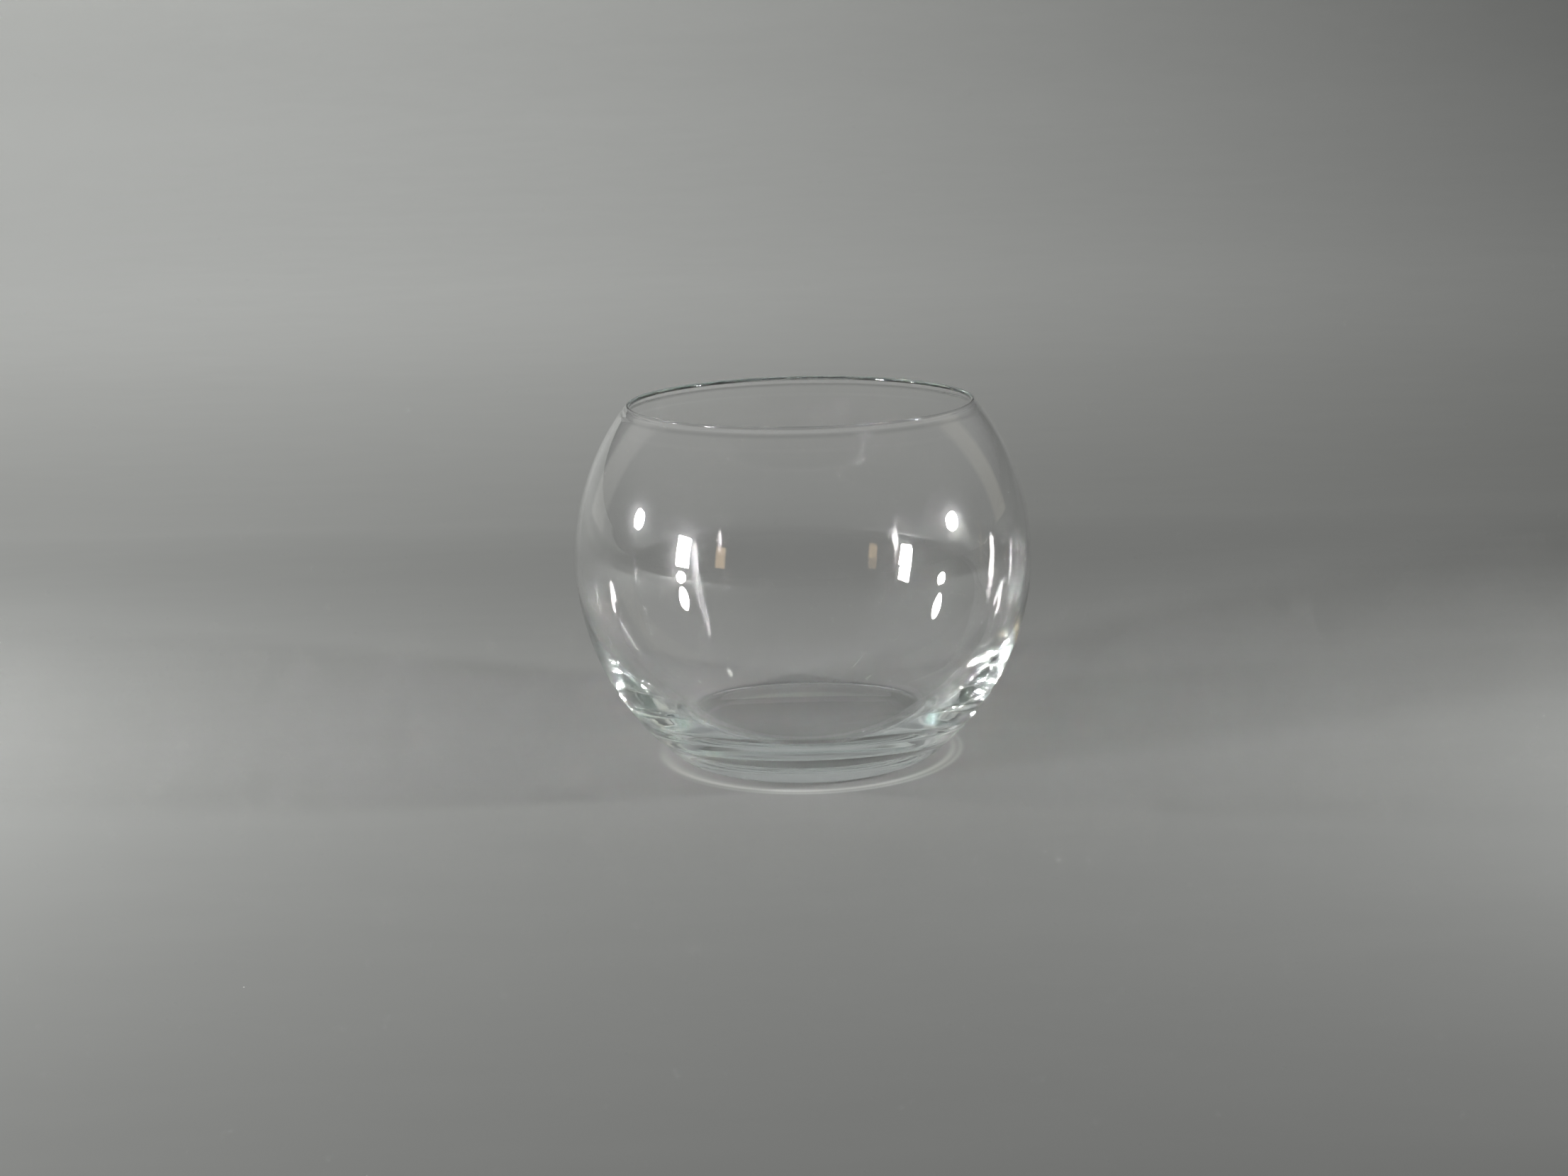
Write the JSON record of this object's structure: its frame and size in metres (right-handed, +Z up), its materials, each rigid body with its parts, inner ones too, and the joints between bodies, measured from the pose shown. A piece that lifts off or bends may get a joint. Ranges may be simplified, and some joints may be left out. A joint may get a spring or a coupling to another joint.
{
  "type": "rose bowl vase",
  "caption": "Round clear glass vase, a sphere cut open at a wide mouth and flattened on a thick base, that holds water and flowers.",
  "frame": {"origin": "centre of the flat underside, on the table plane and on the bowl's axis", "axes": "+Z up along the bowl's axis, out of the mouth; the bowl is the same all round, so +X and +Y are free"},
  "size_m": [0.15, 0.15, 0.1174],
  "materials": {
    "glass": "clear, colourless soda-lime glass, fire-polished, faintly green where it is thick"
  },
  "bodies": {
    "root": {"glass_bowl": "glass"}
  },
  "joints": []
}
